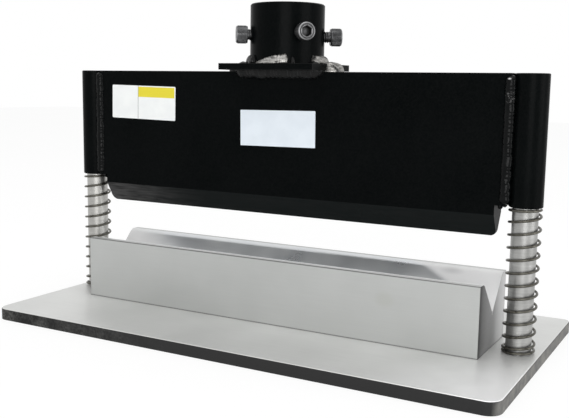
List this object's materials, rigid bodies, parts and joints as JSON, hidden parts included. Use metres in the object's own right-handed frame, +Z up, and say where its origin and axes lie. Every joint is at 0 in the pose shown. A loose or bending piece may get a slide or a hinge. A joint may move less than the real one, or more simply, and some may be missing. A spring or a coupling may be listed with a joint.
{
  "type": "press brake v die set",
  "caption": "Spring-return V die set for a shop press: a pointed punch beam slides on sprung guide posts above a V block, with a clamp collar for the press ram.",
  "frame": {"origin": "centre of the base plate's underside", "axes": "+X along the bend line, +Y to the rear, +Z up along the ram and the posts"},
  "size_m": [0.367, 0.19, 0.2249],
  "materials": {
    "base_steel": "satin bright plate with dark scaled edges",
    "die_steel": "ground satin",
    "post_steel": "turned and polished",
    "spring_steel": "dark oiled wire",
    "black_paint": "semi-gloss black enamel",
    "painted_weld": "black enamel over weld ripples",
    "bare_weld": "bare weld metal",
    "black_oxide": "black oxide",
    "label_white": "semi-gloss vinyl",
    "label_white_yellow": "semi-gloss vinyl, white with a yellow band"
  },
  "bodies": {
    "base": {"base_plate": "base_steel", "v_die": "die_steel", "guide_post_left": "post_steel", "guide_post_right": "post_steel", "spring_left": "spring_steel", "spring_right": "spring_steel", "post_screw_left": "black_oxide", "post_screw_right": "black_oxide", "die_screw_1": "black_oxide", "die_screw_2": "black_oxide", "die_screw_3": "black_oxide", "die_screw_4": "black_oxide"},
    "upper_tool": {"punch_beam": "black_paint", "top_plate": "black_paint", "ram_collar": "black_paint", "label_centre": "label_white", "label_left": "label_white_yellow", "guide_sleeve_left": "black_paint", "sleeve_weld_left_front": "painted_weld", "sleeve_weld_left_back": "painted_weld", "guide_sleeve_right": "black_paint", "sleeve_weld_right_front": "painted_weld", "sleeve_weld_right_back": "painted_weld", "plate_weld_left": "painted_weld", "plate_weld_right": "bare_weld", "plate_weld_front": "painted_weld", "plate_weld_back": "painted_weld", "collar_weld_front": "bare_weld", "collar_weld_right": "bare_weld", "collar_weld_left": "painted_weld", "collar_weld_back": "painted_weld"},
    "clamp_screw_1": {"clamp_screw_1": "black_oxide"},
    "clamp_screw_2": {"clamp_screw_2": "black_oxide"},
    "clamp_screw_3": {"clamp_screw_3": "black_oxide"},
    "clamp_screw_4": {"clamp_screw_4": "black_oxide"}
  },
  "joints": [
    {"name": "upper_tool_stroke", "type": "slide", "parent": "base", "child": "upper_tool", "axis": [0, 0, -1], "range_m": [0, 0.0475], "stiffness_N_per_m": 4700, "springref_m": -0.0115, "deforming": ["spring_left", "spring_right"]},
    {"name": "clamp_screw_1_travel", "type": "slide", "parent": "upper_tool", "child": "clamp_screw_1", "axis": [-0.829, -0.5592, 0], "range_m": [-0.003, 0.0039]},
    {"name": "clamp_screw_2_travel", "type": "slide", "parent": "upper_tool", "child": "clamp_screw_2", "axis": [0.5736, -0.8192, 0], "range_m": [-0.003, 0.0036]},
    {"name": "clamp_screw_3_travel", "type": "slide", "parent": "upper_tool", "child": "clamp_screw_3", "axis": [0.8192, 0.5736, 0], "range_m": [-0.003, 0.0018]},
    {"name": "clamp_screw_4_travel", "type": "slide", "parent": "upper_tool", "child": "clamp_screw_4", "axis": [-0.7431, 0.6691, 0], "range_m": [-0.003, 0.005]}
  ]
}
